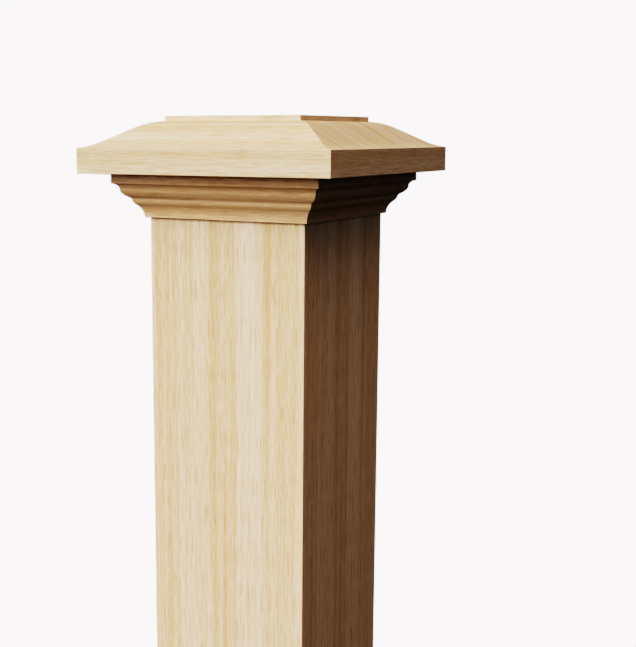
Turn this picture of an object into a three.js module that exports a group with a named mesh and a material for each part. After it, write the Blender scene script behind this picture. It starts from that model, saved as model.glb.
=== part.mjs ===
// Box newel post: a hollow square shaft of four mitred boards, a mitred crown moulding round its top,
// and a one-piece cap whose ogee slopes rise to a low raised field.
// Millimetres, +Z up. The origin is the centre of the base, and the front of the post faces -Y.
import * as THREE from "three";

// Shaft
const POST_HEIGHT = 1397;
const SHAFT_WIDTH = 158.75;
const BOARD_THICKNESS = 19.05;
const BOARD_LENGTHS = 4; // equal lengths that each board's faces are divided into
const JOINT_GAP = 0.3; // hairline left in every joint

// Cap
const CAP_WIDTH = 252.4;
const CAP_HEIGHT = 50.8;
const CAP_EDGE_HEIGHT = 22.6;
const FIELD_WIDTH = 138.8;
const FIELD_STEP = 4.5;
const SLOPE_AT_EDGE = 8; // degrees above level where the ogee leaves the square edge
const SLOPE_STEEPEST = 30;
const SLOPE_AT_FIELD = 3; // degrees above level where the ogee reaches the raised field

// Crown moulding: a square fillet, then tangent curves down to the wall.
// Each curve ends at a lean, in degrees off plumb, that the next one takes up.
const CROWN_PROJECTION = 25.4;
const CROWN_FILLET = 9.2;
const CROWN_CURVES = [
  { part: "upper cove", radius: 5.5, endLean: 1 },
  { part: "ovolo shoulder", radius: 4.8, endLean: 34 },
  { part: "ovolo", radius: 13.4, endLean: 63 },
  { part: "quirk", radius: 4.3, endLean: 12 },
  { part: "bead", radius: 6.3, endLean: 52 },
  { part: "lower cove", radius: 15, endLean: 0 },
];

const CURVE_STEP = 6; // largest turn between two points of a curve, in degrees

// Timber, as seen in even light
const PALE_TIMBER = "#dccfae";
const CAP_TIMBER = "#e0d3b4";
const CROWN_TIMBER = "#d6c49c";
const SATIN = 0.55;

// Sizes that follow from those above
const SHAFT_HALF = SHAFT_WIDTH / 2;
const CAP_UNDERSIDE = POST_HEIGHT - CAP_HEIGHT;
const MITRE_SETBACK = JOINT_GAP / Math.SQRT2; // along the piece, at each of the two ends that meet
const SIDES = ["front", "right", "back", "left"];
const QUARTER_TURN = Math.PI / 2;

// Draws an outline in a vertical plane: x runs out from the centre, y runs up.
// The heading is the way the outline runs, in degrees anticlockwise from straight out.
class ProfilePen {
  constructor(x, y, heading) {
    this.x = x;
    this.y = y;
    this.heading = heading;
    this.points = [new THREE.Vector2(x, y)];
  }

  moveTo(x, y) {
    this.x = x;
    this.y = y;
    this.points.push(new THREE.Vector2(x, y));
    return this;
  }

  line(length) {
    const angle = THREE.MathUtils.degToRad(this.heading);
    return this.moveTo(this.x + length * Math.cos(angle), this.y + length * Math.sin(angle));
  }

  // An arc that starts along the present heading and ends along the given one.
  arc(radius, endHeading) {
    const turn = endHeading - this.heading;
    const side = Math.sign(turn) * QUARTER_TURN;
    const start = THREE.MathUtils.degToRad(this.heading);
    const centreX = this.x + radius * Math.cos(start + side);
    const centreY = this.y + radius * Math.sin(start + side);
    const steps = Math.ceil(Math.abs(turn) / CURVE_STEP);
    for (let i = 1; i <= steps; i += 1) {
      const angle = start + THREE.MathUtils.degToRad((turn * i) / steps);
      this.moveTo(centreX - radius * Math.cos(angle + side), centreY - radius * Math.sin(angle + side));
    }
    this.heading = endHeading;
    return this;
  }
}

function timber(colour) {
  return new THREE.MeshStandardMaterial({ color: colour, roughness: SATIN, metalness: 0 });
}

// The equal radii and the straight between them that carry the ogee over a given run and rise.
function ogeeSizes(run, rise) {
  const [edge, steep, field] = [SLOPE_AT_EDGE, SLOPE_STEEPEST, SLOPE_AT_FIELD].map(THREE.MathUtils.degToRad);
  const runPerRadius = 2 * Math.sin(steep) - Math.sin(edge) - Math.sin(field);
  const risePerRadius = Math.cos(edge) + Math.cos(field) - 2 * Math.cos(steep);
  const radius =
    (run * Math.sin(steep) - rise * Math.cos(steep)) /
    (runPerRadius * Math.sin(steep) - risePerRadius * Math.cos(steep));
  return { radius, straight: (run - radius * runPerRadius) / Math.cos(steep) };
}

// Half of the cap's section, from the centre of its underside to the centre of its field.
function capProfile() {
  const edge = CAP_WIDTH / 2;
  const field = FIELD_WIDTH / 2;
  const fieldFoot = CAP_HEIGHT - FIELD_STEP;
  const ogee = ogeeSizes(edge - field, fieldFoot - CAP_EDGE_HEIGHT);
  return new ProfilePen(0, 0, 180 - SLOPE_AT_EDGE)
    .moveTo(edge, 0)
    .moveTo(edge, CAP_EDGE_HEIGHT)
    .arc(ogee.radius, 180 - SLOPE_STEEPEST)
    .line(ogee.straight)
    .arc(ogee.radius, 180 - SLOPE_AT_FIELD)
    .moveTo(field, CAP_HEIGHT)
    .moveTo(0, CAP_HEIGHT).points;
}

// The cap is the half section turned round the centre in four flat sides.
function makeCap() {
  const cornerPoints = capProfile().map((point) => new THREE.Vector2(point.x * Math.SQRT2, point.y));
  const geometry = new THREE.LatheGeometry(cornerPoints, SIDES.length, QUARTER_TURN / 2);
  geometry.rotateX(QUARTER_TURN);
  const cap = new THREE.Mesh(geometry, timber(CAP_TIMBER));
  cap.name = "cap";
  cap.position.z = CAP_UNDERSIDE;
  return cap;
}

// The crown's section: x is the projection from the shaft's face, y is the height below the cap.
function crownProfile() {
  const plumb = 270;
  const pen = new ProfilePen(JOINT_GAP, -JOINT_GAP, 180)
    .moveTo(CROWN_PROJECTION, -JOINT_GAP)
    .moveTo(CROWN_PROJECTION, -CROWN_FILLET);
  CROWN_CURVES.forEach((curve) => pen.arc(curve.radius, plumb - curve.endLean));
  return pen.moveTo(JOINT_GAP, pen.y).points;
}

// One side of the crown, lying along X on the front face, its ends cut to the mitre.
function crownGeometry() {
  const geometry = new THREE.ExtrudeGeometry(new THREE.Shape(crownProfile()), {
    depth: 1,
    bevelEnabled: false,
  });
  const position = geometry.getAttribute("position");
  for (let i = 0; i < position.count; i += 1) {
    const outward = SHAFT_HALF + position.getX(i);
    const end = position.getZ(i) > 0.5 ? -1 : 1;
    position.setXYZ(i, end * (outward - MITRE_SETBACK), -outward, CAP_UNDERSIDE + position.getY(i));
  }
  geometry.computeVertexNormals();
  return geometry;
}

// One board of the shaft, standing on the front face, its long edges cut to the mitre.
function boardGeometry() {
  const outer = SHAFT_HALF;
  const inner = SHAFT_HALF - BOARD_THICKNESS;
  const section = new THREE.Shape([
    new THREE.Vector2(MITRE_SETBACK - outer, -outer),
    new THREE.Vector2(outer - MITRE_SETBACK, -outer),
    new THREE.Vector2(inner - MITRE_SETBACK, -inner),
    new THREE.Vector2(MITRE_SETBACK - inner, -inner),
  ]);
  return new THREE.ExtrudeGeometry(section, {
    depth: CAP_UNDERSIDE - JOINT_GAP,
    steps: BOARD_LENGTHS,
    bevelEnabled: false,
  });
}

// Four like pieces, one on each side of the post, from the front one.
function makeSides(baseName, geometry, colour) {
  const sides = new THREE.Group();
  SIDES.forEach((side, quarter) => {
    const piece = new THREE.Mesh(geometry, timber(colour));
    piece.name = `${baseName}_${side}`;
    piece.rotation.z = quarter * QUARTER_TURN;
    sides.add(piece);
  });
  return sides;
}

const newelPost = new THREE.Group();
newelPost.add(makeSides("shaft_board", boardGeometry(), PALE_TIMBER));
newelPost.add(makeSides("crown_moulding", crownGeometry(), CROWN_TIMBER));
newelPost.add(makeCap());

export default newelPost;
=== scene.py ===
"""The box newel post in pale timber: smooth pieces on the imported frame, in a plain soft studio.

The frame gives the sizes that the pieces share. Lengths are in metres, angles in degrees.
"""

import logging
import math
from collections.abc import Callable, Iterable
from dataclasses import dataclass
from enum import Enum

import bmesh
import bpy
from mathutils import Matrix, Vector


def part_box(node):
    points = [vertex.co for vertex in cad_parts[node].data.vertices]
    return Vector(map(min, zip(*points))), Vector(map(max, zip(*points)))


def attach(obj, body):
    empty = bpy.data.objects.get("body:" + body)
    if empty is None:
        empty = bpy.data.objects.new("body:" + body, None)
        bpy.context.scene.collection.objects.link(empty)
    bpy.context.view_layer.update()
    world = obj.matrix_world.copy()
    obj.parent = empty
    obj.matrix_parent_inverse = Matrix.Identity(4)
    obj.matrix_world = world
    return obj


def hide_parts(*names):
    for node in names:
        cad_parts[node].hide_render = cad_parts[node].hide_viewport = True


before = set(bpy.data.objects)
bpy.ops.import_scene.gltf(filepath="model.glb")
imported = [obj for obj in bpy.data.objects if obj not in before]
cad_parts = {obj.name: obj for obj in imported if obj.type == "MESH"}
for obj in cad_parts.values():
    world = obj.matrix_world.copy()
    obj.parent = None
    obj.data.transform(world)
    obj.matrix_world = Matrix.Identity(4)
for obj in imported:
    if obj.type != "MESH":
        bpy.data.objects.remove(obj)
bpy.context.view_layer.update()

Colour = tuple[float, float, float]
Tint = tuple[float, float, float, float]
Socket = bpy.types.NodeSocket
GrainPlan = Callable[[Vector, Vector], tuple[float, float]]

LOG = logging.getLogger("newel_post")
BODY = "root"

MM = 0.001
QUARTER_TURN = math.pi / 2
INWARD, DOWNWARD = 180.0, 270.0  # headings of a section that runs level to the axis, and plumb down
JOINT = 0.1 * MM  # hairline kept between two pieces
WELD = 0.001 * MM  # corners closer than this are one
ARC_STEP = 2.5  # largest turn between two points of a curve
ARRIS_TURN = 1.2 * ARC_STEP  # edges that turn more than a curve's own steps are arrises
CREASE = 24.0  # edges that turn more than this look sharp
EASING_SEGMENTS = 3
NEAR_WALL = 1 * MM  # arrises of the crown closer to the shaft than this stay sharp
SAW_SPARE = 1.2  # a length of crown starts this much too long, before its mitres are sawn
UPRIGHT = 0.5  # a face whose normal rises no more than this is upright
GRAIN_MAP = "grain"
ARRIS_MARK = "arris"
GRAIN_STEP = Vector((1.37, 0.291))  # along and across, from one piece's grain to the next one's


class Side(Enum):
    """The four sides of the post, counted in quarter turns from the front."""

    FRONT = 0
    RIGHT = 1
    BACK = 2
    LEFT = 3

    @property
    def label(self) -> str:
        """Give the side's word in the names of pieces."""
        return self.name.lower()

    @property
    def turn(self) -> Matrix:
        """Give the turn that brings a front piece to this side."""
        return Matrix.Rotation(self.value * QUARTER_TURN, 4, "Z")


class ProfilePen:
    """Draws a section as a chain of edges in the XZ plane, where x runs outwards and z up.

    The heading is the way the chain runs, anticlockwise from straight outwards.
    """

    def __init__(self, mesh: bmesh.types.BMesh, x: float, z: float, heading: float) -> None:
        """Set the pen down.

        Args:
            mesh: The shape that takes the chain.
            x: Where the chain starts, outwards.
            z: Where the chain starts, upwards.
            heading: The way the first curve or line runs.
        """
        self.mesh = mesh
        self.heading = heading
        self.start = mesh.verts.new((x, 0.0, z))
        self.tip = self.start

    @property
    def direction(self) -> Vector:
        """Give the heading as a unit vector."""
        angle = math.radians(self.heading)
        return Vector((math.cos(angle), 0.0, math.sin(angle)))

    def move_to(self, x: float, z: float) -> "ProfilePen":
        """Draw a straight edge to a point and leave the heading as it is.

        Args:
            x: The point's place, outwards.
            z: The point's place, upwards.

        Returns:
            The pen itself, for the next stroke.
        """
        self.tip = bmesh.ops.extrude_vert_indiv(self.mesh, verts=[self.tip])["verts"][0]
        self.tip.co = (x, 0.0, z)
        return self

    def line(self, length: float) -> "ProfilePen":
        """Draw a straight edge along the heading.

        Args:
            length: How far to draw.

        Returns:
            The pen itself, for the next stroke.
        """
        end = self.tip.co + length * self.direction
        return self.move_to(end.x, end.z)

    def arc(self, radius: float, end_heading: float) -> "ProfilePen":
        """Draw an arc that leaves along the present heading.

        Args:
            radius: The arc's radius.
            end_heading: The heading at the arc's end, which the next stroke takes up.

        Returns:
            The pen itself, for the next stroke.
        """
        turn = end_heading - self.heading
        along = self.direction
        left = Vector((-along.z, 0.0, along.x))
        centre = self.tip.co + math.copysign(radius, turn) * left
        made = bmesh.ops.spin(
            self.mesh,
            geom=[self.tip],
            cent=centre,
            axis=(0.0, -1.0, 0.0),
            angle=math.radians(turn),
            steps=math.ceil(abs(turn) / ARC_STEP),
        )
        self.tip = next(item for item in made["geom_last"] if isinstance(item, bmesh.types.BMVert))
        self.heading = end_heading
        return self

    def close(self) -> None:
        """Draw a straight edge back to the start and fill the outline with one face."""
        bmesh.ops.contextual_create(self.mesh, geom=[self.tip, self.start])
        bmesh.ops.contextual_create(self.mesh, geom=self.mesh.edges[:])


def trim(mesh: bmesh.types.BMesh, point: Vector, outward: Vector) -> None:
    """Saw a shape off along a plane and close the cut.

    Args:
        mesh: The shape.
        point: A point of the plane.
        outward: The plane's normal, towards the side that falls away.
    """
    cut = bmesh.ops.bisect_plane(
        mesh,
        geom=mesh.verts[:] + mesh.edges[:] + mesh.faces[:],
        dist=WELD,
        plane_co=point,
        plane_no=outward,
        clear_outer=True,
    )
    rim = [item for item in cut["geom_cut"] if isinstance(item, bmesh.types.BMEdge)]
    bmesh.ops.holes_fill(mesh, edges=rim)


def trim_mitres(mesh: bmesh.types.BMesh) -> None:
    """Saw both ends of a front piece to the mitres that meet on the post's axis.

    Args:
        mesh: The piece, in its place at the front.
    """
    setback = JOINT / math.sqrt(2)
    for end in (-1, 1):
        trim(mesh, Vector((-end * setback, 0.0, 0.0)), Vector((end, 1.0, 0.0)))


def ease(mesh: bmesh.types.BMesh, edges: Iterable[bmesh.types.BMEdge], radius: float) -> None:
    """Round arrises off and mark the new faces as eased.

    Args:
        mesh: The shape.
        edges: The arrises.
        radius: How far the rounding reaches from each arris.
    """
    mark = mesh.faces.layers.float.get(ARRIS_MARK) or mesh.faces.layers.float.new(ARRIS_MARK)
    made = bmesh.ops.bevel(
        mesh,
        geom=list(edges),
        offset=radius,
        offset_type="OFFSET",
        affect="EDGES",
        segments=EASING_SEGMENTS,
        profile=0.5,
        material=-1,
        clamp_overlap=True,
    )
    for face in made["faces"]:
        face[mark] = 1.0


def crease(mesh: bmesh.types.BMesh) -> None:
    """Shade curves smoothly, and keep flat faces flat up to their arrises.

    Args:
        mesh: The shape, with its eased faces marked.
    """
    mark = mesh.faces.layers.float.get(ARRIS_MARK) or mesh.faces.layers.float.new(ARRIS_MARK)
    for face in mesh.faces:
        face.smooth = True
    for edge in mesh.edges:
        one, other = edge.link_faces
        meets_easing = one[mark] != other[mark]
        edge.smooth = not meets_easing and edge.calc_face_angle() < math.radians(CREASE)
    mesh.faces.layers.float.remove(mark)


def lay_grain(mesh: bmesh.types.BMesh, plan: GrainPlan, start: Vector) -> None:
    """Write the grain map, which tells how far each corner lies along and across the grain.

    Args:
        mesh: The shape.
        plan: Gives the two distances from a corner's place and its face's normal.
        start: Where in the endless grain this piece begins.
    """
    layer = mesh.loops.layers.uv.new(GRAIN_MAP)
    for face in mesh.faces:
        for loop in face.loops:
            loop[layer].uv = Vector(plan(loop.vert.co, face.normal)) + start


def new_object(name: str, data: bpy.types.ID) -> bpy.types.Object:
    """Make an object of a mesh, a lamp or a lens, and link it to the scene.

    Args:
        name: The object's name.
        data: What the object shows.

    Returns:
        The object, at the origin.
    """
    made = bpy.data.objects.new(name, data)
    bpy.context.scene.collection.objects.link(made)
    return made


def turn_to_post(azimuth: float, elevation: float) -> tuple[float, float, float]:
    """Give the turn of a lamp or camera that faces the post from an azimuth and an elevation."""
    return (math.radians(90.0 - elevation), 0.0, math.radians(azimuth))


def make_piece(node: str, mesh: bmesh.types.BMesh, finish: "TimberFinish") -> bpy.types.Object:
    """Turn a shape into a piece that stands for a node of the frame.

    Args:
        node: The node's name, which the piece takes up.
        mesh: The finished shape, which is used up.
        finish: The timber that the piece is made of.

    Returns:
        The piece.
    """
    data = bpy.data.meshes.new(f"{node}_timber")
    mesh.to_mesh(data)
    mesh.free()
    data.materials.append(finish.material())
    piece = new_object(f"{node}_timber", data)
    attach(piece, BODY)
    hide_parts(node)
    return piece


class NodeSheet:
    """Adds shader nodes to one tree and joins their sockets."""

    MIX_SHARE, MIX_FIRST, MIX_SECOND, MIX_RESULT = 0, 6, 7, 2  # a mix node's sockets for colours

    def __init__(self, tree: bpy.types.NodeTree) -> None:
        """Take the tree that the nodes go into."""
        self.tree = tree

    @classmethod
    def clean(cls, owner: bpy.types.Material | bpy.types.World) -> "NodeSheet":
        """Empty the node tree of a material or a world.

        Args:
            owner: The material or world.

        Returns:
            A sheet on its tree.
        """
        owner.use_nodes = True
        owner.node_tree.nodes.clear()
        return cls(owner.node_tree)

    def add(
        self, kind: str, inputs: dict[str | int, object] | None = None, **settings: object
    ) -> bpy.types.Node:
        """Add a node.

        Args:
            kind: The node's type.
            inputs: A value or a socket to join for each input, by its name or number.
            settings: The node's own settings.

        Returns:
            The node.
        """
        node = self.tree.nodes.new(kind)
        for name, value in settings.items():
            setattr(node, name, value)
        for key, value in (inputs or {}).items():
            if isinstance(value, Socket):
                self.tree.links.new(value, node.inputs[key])
            else:
                node.inputs[key].default_value = value
        return node

    def math(self, operation: str, *values: float | Socket) -> Socket:
        """Add a sum of numbers or sockets and give its result."""
        return self.add("ShaderNodeMath", dict(enumerate(values)), operation=operation).outputs[0]

    def sway(self, middle: float | Socket, value: Socket, weight: float | Socket) -> Socket:
        """Sway a number to each side by a value that is a half on average, and give the result."""
        return self.math("MULTIPLY_ADD", self.math("SUBTRACT", value, 0.5), weight, middle)

    def mix(self, share: float | Socket, first: Tint | Socket, second: Tint | Socket) -> Socket:
        """Add a mix of two colours and give its result."""
        inputs = {self.MIX_SHARE: share, self.MIX_FIRST: first, self.MIX_SECOND: second}
        return self.add("ShaderNodeMix", inputs, data_type="RGBA").outputs[self.MIX_RESULT]


@dataclass(frozen=True)
class GrainLayer:
    """One kind of long soft mark that the grain is made of."""

    width: str  # the group's input that gives a mark's width
    length: float
    detail: float  # how much finer marks the layer holds too
    weight: float  # how far the marks sway the colour
    shift: float = 0.0  # sets the layer apart from another of the same size
    roughness: float = 0.55  # how strong the finer marks are

    def draw(self, sheet: NodeSheet, grain: Socket, given: bpy.types.NodeOutputs) -> Socket:
        """Draw the layer.

        Args:
            sheet: The sheet to draw on.
            grain: The grain map.
            given: The inputs of the group.

        Returns:
            The layer's value, about a half on average.
        """
        per_width = sheet.math("DIVIDE", 1.0, given[self.width])
        scale = sheet.add("ShaderNodeCombineXYZ", {"X": 1.0 / self.length, "Y": per_width})
        place = sheet.add(
            "ShaderNodeVectorMath",
            {0: grain, 1: scale.outputs[0], 2: (self.shift, self.shift, 0.0)},
            operation="MULTIPLY_ADD",
        )
        noise = sheet.add(
            "ShaderNodeTexNoise",
            {"Vector": place.outputs[0], "Scale": 1.0, "Detail": self.detail, "Roughness": self.roughness},
            noise_dimensions="2D",
        )
        return noise.outputs[0]


class GrainGroup:
    """The timber's grain, shared by every finish as one node group.

    Bands, streaks and fibres sway the tone between tan and pale. Pores lie over it as fine dark lines.
    """

    NAME = "timber_grain"
    INPUTS = (
        ("Grain", "Vector"),
        ("Tan", "Color"),
        ("Pale", "Color"),
        ("Pore", "Color"),
        ("Band Width", "Float"),
        ("Streak Width", "Float"),
        ("Fibre Width", "Float"),
        ("Drift", "Float"),
    )
    OUTPUTS = (("Colour", "Color"), ("Roughness", "Float"), ("Height", "Float"))

    BANDS = GrainLayer("Band Width", length=3.0, detail=2.0, weight=1.0)
    STREAKS = GrainLayer("Streak Width", length=0.8, detail=2.0, weight=1.5)
    FIBRES = GrainLayer("Fibre Width", length=14 * MM, detail=3.0, weight=0.83)
    PORES = GrainLayer("Fibre Width", length=35 * MM, detail=0.0, weight=0.5, shift=7.3)
    PORE_FROM, PORE_FULL = 0.64, 0.74  # values of the pore layer where a pore starts and is full
    FIBRE_SHADE = 0.26  # how far fibres lighten and darken the timber
    WANDER_RATE = (4.0, 14.0, 0.0)  # bends of the grain lines per metre, along and across
    WANDER_DETAIL = 1.0

    TAN_ROUGHNESS, PALE_ROUGHNESS, PORE_ROUGHNESS = 0.62, -0.12, 0.15  # of tan, and what the others add
    STREAK_RELIEF, PORE_RELIEF = 0.4, -0.8  # heights against that of a fibre

    @classmethod
    def tree(cls) -> bpy.types.NodeTree:
        """Give the group, built the first time it is asked for."""
        return bpy.data.node_groups.get(cls.NAME) or cls.build()

    @classmethod
    def build(cls) -> bpy.types.NodeTree:
        """Build the group.

        Returns:
            The group.
        """
        tree = bpy.data.node_groups.new(cls.NAME, "ShaderNodeTree")
        for way, sockets in (("INPUT", cls.INPUTS), ("OUTPUT", cls.OUTPUTS)):
            for name, kind in sockets:
                tree.interface.new_socket(name, in_out=way, socket_type=f"NodeSocket{kind}")
        sheet = NodeSheet(tree)
        given = sheet.add("NodeGroupInput").outputs
        grain = cls.wandering(sheet, given["Grain"], given["Drift"])
        bands = cls.BANDS.draw(sheet, grain, given)
        streaks = cls.STREAKS.draw(sheet, grain, given)
        fibres = cls.FIBRES.draw(sheet, grain, given)
        pores = cls.pores(sheet, grain, given)
        tone = sheet.sway(0.5, bands, cls.BANDS.weight)
        tone = sheet.sway(tone, streaks, cls.STREAKS.weight)
        tone = sheet.sway(tone, fibres, cls.FIBRES.weight)
        tone = sheet.add("ShaderNodeClamp", {0: tone}).outputs[0]
        timber = sheet.mix(tone, given["Tan"], given["Pale"])
        timber = sheet.mix(sheet.math("MULTIPLY", pores, cls.PORES.weight), timber, given["Pore"])
        shade = sheet.sway(1.0, fibres, cls.FIBRE_SHADE)
        shaded = sheet.add("ShaderNodeVectorMath", {0: timber, "Scale": shade}, operation="SCALE")
        roughness = sheet.math("MULTIPLY_ADD", tone, cls.PALE_ROUGHNESS, cls.TAN_ROUGHNESS)
        roughness = sheet.math("MULTIPLY_ADD", pores, cls.PORE_ROUGHNESS, roughness)
        height = sheet.math("MULTIPLY_ADD", streaks, cls.STREAK_RELIEF, fibres)
        height = sheet.math("MULTIPLY_ADD", pores, cls.PORE_RELIEF, height)
        sheet.add(
            "NodeGroupOutput", {"Colour": shaded.outputs[0], "Roughness": roughness, "Height": height}
        )
        return tree

    @classmethod
    def wandering(cls, sheet: NodeSheet, grain: Socket, drift: Socket) -> Socket:
        """Bend the grain lines a little to each side along their run.

        Args:
            sheet: The sheet to draw on.
            grain: The straight grain map.
            drift: How far the lines wander.

        Returns:
            The bent grain map.
        """
        slow = sheet.add("ShaderNodeVectorMath", {0: grain, 1: cls.WANDER_RATE}, operation="MULTIPLY")
        wander = sheet.add(
            "ShaderNodeTexNoise",
            {"Vector": slow.outputs[0], "Scale": 1.0, "Detail": cls.WANDER_DETAIL},
            noise_dimensions="2D",
        )
        step = sheet.add("ShaderNodeCombineXYZ", {"Y": sheet.sway(0.0, wander.outputs[0], drift)})
        return sheet.add("ShaderNodeVectorMath", {0: grain, 1: step.outputs[0]}, operation="ADD").outputs[0]

    @classmethod
    def pores(cls, sheet: NodeSheet, grain: Socket, given: bpy.types.NodeOutputs) -> Socket:
        """Draw the pores.

        Args:
            sheet: The sheet to draw on.
            grain: The grain map.
            given: The inputs of the group.

        Returns:
            One in a pore, and nought beside it.
        """
        layer = cls.PORES.draw(sheet, grain, given)
        inputs = {"Value": layer, "From Min": cls.PORE_FROM, "From Max": cls.PORE_FULL}
        return sheet.add("ShaderNodeMapRange", inputs, interpolation_type="SMOOTHSTEP").outputs[0]


@dataclass(frozen=True)
class TimberFinish:
    """Pale straight-grained timber under a clear satin finish."""

    slot: str
    tan: Colour
    pale: Colour
    pore: Colour
    band_width: float = 22 * MM
    streak_width: float = 7 * MM
    fibre_width: float = 1.3 * MM
    drift: float = 2.5 * MM
    gloss: float = 0.25
    relief: float = 0.05 * MM
    relief_strength: float = 0.5

    @property
    def name(self) -> str:
        """Give the material's name, apart from the plain one that came with the frame."""
        return f"{self.slot}_finish"

    def material(self) -> bpy.types.Material:
        """Give the finish's material, made the first time it is asked for."""
        return bpy.data.materials.get(self.name) or self.make_material()

    def make_material(self) -> bpy.types.Material:
        """Make the material: the shared grain with this finish's colours and sizes.

        Returns:
            The material.
        """
        timber = bpy.data.materials.new(self.name)
        sheet = NodeSheet.clean(timber)
        lie = sheet.add("ShaderNodeUVMap", uv_map=GRAIN_MAP)
        grain = sheet.add("ShaderNodeGroup", node_tree=GrainGroup.tree())
        sheet.tree.links.new(lie.outputs[0], grain.inputs["Grain"])
        for name, value in (
            ("Tan", (*self.tan, 1.0)),
            ("Pale", (*self.pale, 1.0)),
            ("Pore", (*self.pore, 1.0)),
            ("Band Width", self.band_width),
            ("Streak Width", self.streak_width),
            ("Fibre Width", self.fibre_width),
            ("Drift", self.drift),
        ):
            grain.inputs[name].default_value = value
        relief = sheet.add(
            "ShaderNodeBump",
            {
                "Strength": self.relief_strength,
                "Distance": self.relief,
                "Height": grain.outputs["Height"],
            },
        )
        surface = sheet.add(
            "ShaderNodeBsdfPrincipled",
            {
                "Base Color": grain.outputs["Colour"],
                "Roughness": grain.outputs["Roughness"],
                "Specular IOR Level": self.gloss,
                "Normal": relief.outputs[0],
            },
        )
        sheet.add("ShaderNodeOutputMaterial", {"Surface": surface.outputs[0]})
        return timber


SHAFT_TIMBER = TimberFinish(
    slot="shaft_timber", tan=(0.656, 0.434, 0.210), pale=(0.879, 0.694, 0.492), pore=(0.50, 0.33, 0.17)
)
CROWN_TIMBER = TimberFinish(
    slot="crown_timber", tan=(0.683, 0.403, 0.176), pale=(0.917, 0.646, 0.413), pore=(0.53, 0.33, 0.16)
)
CAP_TIMBER = TimberFinish(
    slot="cap_timber", tan=(0.580, 0.391, 0.183), pale=(0.772, 0.625, 0.432), pore=(0.50, 0.33, 0.17)
)


@dataclass
class Shaft:
    """The hollow square shaft: four boards whose long edges meet in mitres."""

    half_width: float
    thickness: float
    length: float
    easing: float = 0.6 * MM
    grain_start: tuple[float, float] = (288.6, 5.9455)
    finish: TimberFinish = SHAFT_TIMBER

    @classmethod
    def from_frame(cls) -> "Shaft":
        """Take the sizes from the front board of the frame."""
        low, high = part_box("shaft_board_front")
        return cls(half_width=-low.y, thickness=high.y - low.y, length=high.z)

    def board(self, side: Side) -> bpy.types.Object:
        """Make one board: a quarter of an eased square post, sawn hollow along its mitres.

        Args:
            side: Where the board stands.

        Returns:
            The board.
        """
        mesh = bmesh.new()
        size = Vector((2 * self.half_width, 2 * self.half_width, self.length))
        bmesh.ops.create_cube(mesh, size=1.0)
        bmesh.ops.scale(mesh, vec=size, verts=mesh.verts)
        bmesh.ops.translate(mesh, vec=(0.0, 0.0, self.length / 2), verts=mesh.verts)
        corners = [edge for edge in mesh.edges if abs(edge.verts[0].co.z - edge.verts[1].co.z) > WELD]
        ease(mesh, corners, self.easing)
        trim_mitres(mesh)
        trim(mesh, Vector((0.0, self.thickness - self.half_width, 0.0)), Vector((0.0, 1.0, 0.0)))
        bmesh.ops.recalc_face_normals(mesh, faces=mesh.faces)
        crease(mesh)
        plank = side.value // 2  # front and right come from one plank, back and left from another
        lay_grain(mesh, self.grain, Vector(self.grain_start) + GRAIN_STEP * plank)
        bmesh.ops.transform(mesh, matrix=side.turn, verts=mesh.verts)
        return make_piece(f"shaft_board_{side.label}", mesh, self.finish)

    @staticmethod
    def grain(place: Vector, normal: Vector) -> tuple[float, float]:
        """Run the grain up the board."""
        return (place.z, place.x + place.y * abs(normal.x))

    def build(self) -> list[bpy.types.Object]:
        """Make the four boards."""
        return [self.board(side) for side in Side]


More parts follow.
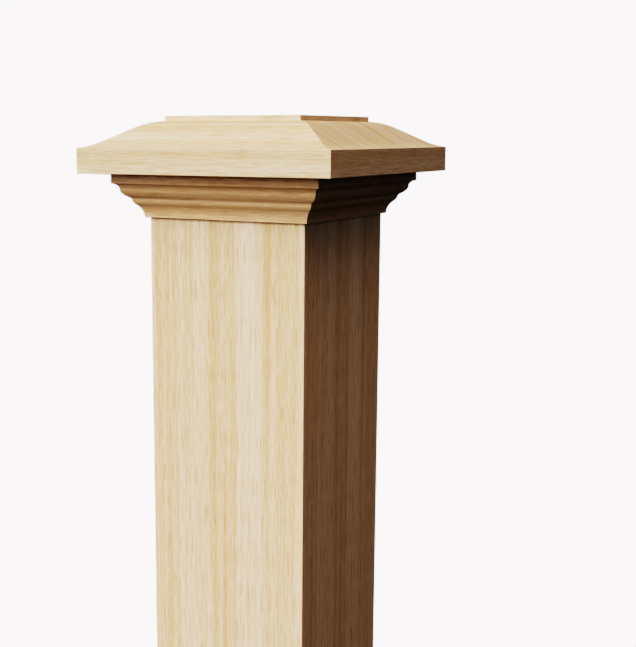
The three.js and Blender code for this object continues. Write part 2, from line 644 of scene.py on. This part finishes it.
@dataclass
class Crown:
    """The crown moulding under the cap: four lengths of one section, mitred at the corners.

    The section is a square fillet, then tangent curves down to the shaft. Each curve has a radius
    and ends at a lean off plumb, which the next one takes up.
    """

    wall: float
    top: float
    projection: float
    fillet: float = 9.2 * MM
    curves: tuple[tuple[float, float], ...] = (
        (5.5 * MM, 1.0),  # upper cove
        (4.8 * MM, 34.0),  # shoulder of the ovolo
        (13.4 * MM, 63.0),  # ovolo
        (4.3 * MM, 12.0),  # quirk
        (6.3 * MM, 52.0),  # bead
        (15.0 * MM, 0.0),  # lower cove
    )
    easing: float = 0.3 * MM
    grain_start: tuple[float, float] = (45.5, 6.1318)
    finish: TimberFinish = CROWN_TIMBER

    @classmethod
    def from_frame(cls) -> "Crown":
        """Take the place from the frame's front length, the front board and the cap.

        Returns:
            The crown at its place.
        """
        wall = -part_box("shaft_board_front")[0].y
        reach = -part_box("crown_moulding_front")[0].y
        return cls(wall=wall, top=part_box("cap")[0].z, projection=reach - wall)

    def section(self, mesh: bmesh.types.BMesh) -> None:
        """Draw the section as one face across the front of the shaft.

        Args:
            mesh: The shape that takes the face.
        """
        back = self.wall + JOINT
        front = self.wall + self.projection
        pen = ProfilePen(mesh, back, self.top - JOINT, heading=INWARD)
        pen.move_to(front, self.top - JOINT).move_to(front, self.top - self.fillet)
        for radius, end_lean in self.curves:
            pen.arc(radius, DOWNWARD - end_lean)
        pen.move_to(back, pen.tip.co.z).close()

    def side_length(self, side: Side) -> bpy.types.Object:
        """Make the length of moulding on one side.

        Args:
            side: Where the length goes.

        Returns:
            The length.
        """
        mesh = bmesh.new()
        self.section(mesh)
        bmesh.ops.transform(mesh, matrix=Matrix.Rotation(-QUARTER_TURN, 4, "Z"), verts=mesh.verts)
        reach = SAW_SPARE * (self.wall + self.projection)
        bmesh.ops.translate(mesh, vec=(-reach, 0.0, 0.0), verts=mesh.verts)
        drawn = bmesh.ops.extrude_face_region(mesh, geom=mesh.faces[:])["geom"]
        moved = [item for item in drawn if isinstance(item, bmesh.types.BMVert)]
        bmesh.ops.translate(mesh, vec=(2 * reach, 0.0, 0.0), verts=moved)
        bmesh.ops.recalc_face_normals(mesh, faces=mesh.faces)
        ease(mesh, self.arrises(mesh), self.easing)
        trim_mitres(mesh)
        bmesh.ops.remove_doubles(mesh, verts=mesh.verts, dist=WELD)
        bmesh.ops.recalc_face_normals(mesh, faces=mesh.faces)
        crease(mesh)
        lay_grain(mesh, self.grain, Vector(self.grain_start) + GRAIN_STEP * side.value)
        bmesh.ops.transform(mesh, matrix=side.turn, verts=mesh.verts)
        return make_piece(f"crown_moulding_{side.label}", mesh, self.finish)

    def arrises(self, mesh: bmesh.types.BMesh) -> list[bmesh.types.BMEdge]:
        """Find the long square arrises that stand clear of the shaft.

        Args:
            mesh: The moulding before its mitres are sawn.

        Returns:
            The arrises.
        """
        clear = -self.wall - NEAR_WALL
        return [
            edge
            for edge in mesh.edges
            if edge.is_convex
            and abs(edge.verts[0].co.x - edge.verts[1].co.x) > WELD
            and edge.verts[0].co.y < clear
            and edge.calc_face_angle() > math.radians(CREASE)
        ]

    @staticmethod
    def grain(place: Vector, normal: Vector) -> tuple[float, float]:
        """Run the grain along the length, and lay its width over the slant of the section."""
        return (place.x, (place.y - place.z) / math.sqrt(2))

    def build(self) -> list[bpy.types.Object]:
        """Make the four lengths."""
        return [self.side_length(side) for side in Side]


@dataclass
class Cap:
    """The one-piece cap: a square edge, ogee slopes that meet at hips, and a low raised field."""

    half_width: float
    underside: float
    top: float
    edge_height: float = 22.6 * MM
    field_half: float = 69.4 * MM
    field_step: float = 4.5 * MM
    slope_at_edge: float = 8.0
    slope_steepest: float = 30.0
    slope_at_field: float = 3.0
    easing: float = 0.35 * MM
    grain_start: tuple[float, float] = (667.1, 6.0574)
    finish: TimberFinish = CAP_TIMBER

    @classmethod
    def from_frame(cls) -> "Cap":
        """Take the outer sizes from the frame."""
        low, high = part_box("cap")
        return cls(half_width=high.x, underside=low.z, top=high.z)

    def ogee(self) -> tuple[float, float]:
        """Work out the ogee that joins the square edge to the foot of the field.

        Returns:
            The radius of both curves, and the length of the straight between them.
        """
        run = self.half_width - self.field_half
        rise = self.top - self.field_step - self.underside - self.edge_height
        slopes = (self.slope_at_edge, self.slope_steepest, self.slope_at_field)
        edge, steep, field = map(math.radians, slopes)
        run_per_radius = 2 * math.sin(steep) - math.sin(edge) - math.sin(field)
        rise_per_radius = math.cos(edge) + math.cos(field) - 2 * math.cos(steep)
        spare = run * math.sin(steep) - rise * math.cos(steep)
        radius = spare / (run_per_radius * math.sin(steep) - rise_per_radius * math.cos(steep))
        return radius, (run - radius * run_per_radius) / math.cos(steep)

    def hip(self, mesh: bmesh.types.BMesh) -> None:
        """Draw the line of one corner, from the underside over the hip to the top of the field.

        Args:
            mesh: The shape that takes the line.
        """
        radius, straight = self.ogee()
        pen = ProfilePen(mesh, self.half_width, self.underside, heading=INWARD - self.slope_at_edge)
        pen.move_to(self.half_width, self.underside + self.edge_height)
        pen.arc(radius, INWARD - self.slope_steepest).line(straight)
        pen.arc(radius, INWARD - self.slope_at_field)
        pen.move_to(self.field_half, self.top)
        to_corner = Matrix.Identity(4)
        to_corner[1][0] = -1.0  # as far out to the front as to the right
        bmesh.ops.transform(mesh, matrix=to_corner, verts=mesh.verts)

    def build(self) -> bpy.types.Object:
        """Turn the corner line round the post in four flat sides, close it and ease its arrises.

        Returns:
            The cap.
        """
        mesh = bmesh.new()
        self.hip(mesh)
        bmesh.ops.spin(
            mesh,
            geom=mesh.verts[:] + mesh.edges[:],
            cent=(0.0, 0.0, 0.0),
            axis=(0.0, 0.0, 1.0),
            angle=math.tau,
            steps=len(Side),
            use_merge=True,
        )
        bmesh.ops.holes_fill(mesh, edges=mesh.edges[:], sides=len(Side))
        bmesh.ops.remove_doubles(mesh, verts=mesh.verts, dist=WELD)
        bmesh.ops.recalc_face_normals(mesh, faces=mesh.faces)
        sharp = math.radians(ARRIS_TURN)
        arrises = [edge for edge in mesh.edges if edge.is_convex and edge.calc_face_angle() > sharp]
        ease(mesh, arrises, self.easing)
        crease(mesh)
        lay_grain(mesh, self.grain, Vector(self.grain_start))
        return make_piece("cap", mesh, self.finish)

    @staticmethod
    def grain(place: Vector, normal: Vector) -> tuple[float, float]:
        """Run the grain from left to right over the top, and level along each upright face.

        Args:
            place: A corner of a face.
            normal: The face's normal.

        Returns:
            How far the corner lies along and across the grain.
        """
        if abs(normal.z) > UPRIGHT:
            return (place.x, place.y)
        if abs(normal.y) > abs(normal.x):
            return (place.x, place.z)
        return (place.y, place.z)


@dataclass(frozen=True)
class SoftLight:
    """A broad far light; its azimuth is counted from the front towards the right."""

    name: str
    azimuth: float
    elevation: float
    spread: float
    strength: float
    colour: Colour

    def place(self) -> bpy.types.Object:
        """Hang the light.

        Returns:
            The light.
        """
        lamp = bpy.data.lights.new(self.name, "SUN")
        lamp.energy = self.strength
        lamp.angle = math.radians(self.spread)
        lamp.color = self.colour
        light = new_object(self.name, lamp)
        light.rotation_euler = turn_to_post(self.azimuth, self.elevation)
        return light


@dataclass(frozen=True)
class SoftPanel(SoftLight):
    """A round soft panel near the post, which lights its top more than its foot."""

    distance: float = 2.2
    aim: float = 1.2  # height that the panel faces

    def place(self) -> bpy.types.Object:
        """Hang the panel, as bright at its aim as a far light of the same strength.

        Returns:
            The panel.
        """
        radius = self.distance * math.tan(math.radians(self.spread / 2))
        lamp = bpy.data.lights.new(self.name, "AREA")
        lamp.shape = "DISK"
        lamp.size = 2 * radius
        lamp.energy = self.strength * math.pi * (radius**2 + self.distance**2)
        lamp.color = self.colour
        panel = new_object(self.name, lamp)
        panel.rotation_euler = turn_to_post(self.azimuth, self.elevation)
        towards = panel.rotation_euler.to_matrix() @ Vector((0.0, 0.0, 1.0))
        panel.location = Vector((0.0, 0.0, self.aim)) + self.distance * towards
        panel.visible_camera = False
        return panel


KEY_LIGHT = SoftLight(
    "key_light", azimuth=-26.1, elevation=31.5, spread=28.0, strength=1.51, colour=(1.0, 1.0, 1.0)
)
BROAD_FILL = SoftLight(
    "broad_fill", azimuth=-26.7, elevation=33.0, spread=58.0, strength=2.12, colour=(1.0, 0.90, 0.85)
)
LOW_FILL = SoftLight(
    "low_fill", azimuth=-26.7, elevation=7.5, spread=18.0, strength=0.42, colour=(1.0, 0.87, 0.82)
)
RIGHT_FILL = SoftPanel(
    "right_fill", azimuth=34.6, elevation=60.0, spread=43.6, strength=1.041, colour=(1.0, 0.761, 0.651)
)
BACK_LIGHT = SoftLight(
    "back_light", azimuth=-120.0, elevation=6.0, spread=30.0, strength=1.6, colour=(1.0, 0.925, 0.889)
)


@dataclass
class PhotoCamera:
    """The viewpoint, fitted to the edges of the post; pixels are those of a 636 by 647 frame."""

    place: tuple[float, float, float] = (0.53005, -0.94712, 1.38033)
    azimuth: float = 29.87
    elevation: float = 9.3
    focal_length: float = 1152.0  # pixels
    post_offset: float = 61.9  # pixels that the frame reaches further right than left
    frame_side: float = 647.0  # pixels on the longer side
    nearest: float = 0.05
    farthest: float = 30.0

    def set_up(self) -> bpy.types.Object:
        """Make the camera and hand it to the scene.

        Returns:
            The camera.
        """
        lens = bpy.data.cameras.new("camera")
        lens.lens = self.focal_length / self.frame_side * lens.sensor_width
        lens.shift_x = self.post_offset / self.frame_side
        lens.clip_start = self.nearest
        lens.clip_end = self.farthest
        camera = new_object("camera", lens)
        camera.location = self.place
        camera.rotation_euler = turn_to_post(self.azimuth, self.elevation)
        bpy.context.scene.camera = camera
        return camera


@dataclass
class Studio:
    """A plain pale floor and backdrop with soft light."""

    lights: tuple[SoftLight, ...] = (KEY_LIGHT, BROAD_FILL, LOW_FILL, RIGHT_FILL, BACK_LIGHT)
    floor_radius: float = 1.75
    floor_sides: int = 128
    floor_fade: float = 1.2  # width of the rim over which the floor melts into the backdrop
    floor_colour: Colour = (0.86, 0.94, 0.99)
    floor_roughness: float = 0.9
    floor_gloss: float = 0.1
    backdrop: Colour = (1.5, 1.5, 1.5)
    backdrop_white: Colour = (3.65, 2.85, 2.85)  # what the film turns the backdrop into
    film_knee: float = 0.1  # how far below the backdrop the film starts to lift
    film_level: float = 0.02  # how far on each side of the backdrop the film stays level
    sky_low: Colour = (0.148, 0.172, 0.198)  # light from near the horizon
    sky_high: Colour = (0.267, 0.185, 0.168)  # light from overhead

    def lay_floor(self) -> bpy.types.Object:
        """Lay the floor, which throws no light back up at the post.

        Returns:
            The floor.
        """
        mesh = bmesh.new()
        bmesh.ops.create_circle(mesh, cap_ends=True, segments=self.floor_sides, radius=self.floor_radius)
        data = bpy.data.meshes.new("studio_floor")
        mesh.to_mesh(data)
        mesh.free()
        data.materials.append(self.floor_paint())
        floor = new_object("studio_floor", data)
        floor.visible_diffuse = False
        floor.visible_glossy = False
        return floor

    def floor_paint(self) -> bpy.types.Material:
        """Mix the floor's matt paint, which thins out towards the rim.

        Returns:
            The material.
        """
        paint = bpy.data.materials.new("studio_floor")
        sheet = NodeSheet.clean(paint)
        place = sheet.add("ShaderNodeTexCoord").outputs["Object"]
        from_centre = sheet.add("ShaderNodeVectorMath", {0: place}, operation="LENGTH").outputs["Value"]
        full_cover = self.floor_radius - self.floor_fade
        cover = sheet.add(
            "ShaderNodeMapRange",
            {"Value": from_centre, "From Min": self.floor_radius, "From Max": full_cover},
            interpolation_type="SMOOTHERSTEP",
        )
        surface = sheet.add(
            "ShaderNodeBsdfPrincipled",
            {
                "Base Color": (*self.floor_colour, 1.0),
                "Roughness": self.floor_roughness,
                "Specular IOR Level": self.floor_gloss,
                "Alpha": cover.outputs[0],
            },
        )
        sheet.add("ShaderNodeOutputMaterial", {"Surface": surface.outputs[0]})
        return paint

    def hang_backdrop(self) -> bpy.types.World:
        """Set a bright backdrop for the eye, and a faint light from above for everything else.

        Returns:
            The world.
        """
        world = bpy.data.worlds.new("studio")
        sheet = NodeSheet.clean(world)
        way = sheet.add("ShaderNodeTexCoord").outputs["Generated"]
        upward = sheet.add("ShaderNodeSeparateXYZ", {0: way}).outputs["Z"]
        above = sheet.math("GREATER_THAN", upward, 0.0)
        sky = sheet.mix(upward, (*self.sky_low, 1.0), (*self.sky_high, 1.0))
        light = sheet.mix(above, (0.0, 0.0, 0.0, 1.0), sky)
        seen = sheet.add("ShaderNodeLightPath").outputs["Is Camera Ray"]
        colour = sheet.mix(seen, light, (*self.backdrop, 1.0))
        glow = sheet.add("ShaderNodeBackground", {"Color": colour})
        sheet.add("ShaderNodeOutputWorld", {"Surface": glow.outputs[0]})
        bpy.context.scene.world = world
        return world

    def choose_film(self) -> None:
        """Choose a film with firm contrast that turns the backdrop white and leaves the timber as it is.

        The backdrop is no brighter than it has to be, so that the outlines stay smooth.
        """
        view = bpy.context.scene.view_settings
        view.view_transform = "Filmic"
        view.look = "Very High Contrast"
        view.use_curve_mapping = True
        view.curve_mapping.use_clip = False
        view.curve_mapping.extend = "EXTRAPOLATED"
        for curve, seen, white in zip(view.curve_mapping.curves, self.backdrop, self.backdrop_white):
            knee = seen - self.film_knee
            curve.points[1].location = (knee, knee)
            curve.points.new(seen - self.film_level, white)
            curve.points.new(seen + self.film_level, white)
            for point in curve.points:
                point.handle_type = "VECTOR"
        view.curve_mapping.update()

    def set_up(self) -> None:
        """Lay the floor, hang the backdrop and the lights, and choose the film."""
        self.lay_floor()
        self.hang_backdrop()
        for light in self.lights:
            light.place()
        self.choose_film()


def main() -> None:
    """Build the post and its studio, and report each piece."""
    logging.basicConfig(level=logging.INFO, format="%(message)s")
    PhotoCamera().set_up()
    pieces = [*Shaft.from_frame().build(), *Crown.from_frame().build(), Cap.from_frame().build()]
    for piece in pieces:
        LOG.info("%s: %d faces, %s", piece.name, len(piece.data.polygons), piece.data.materials[0].name)
    Studio().set_up()


if __name__ == "__main__":
    main()
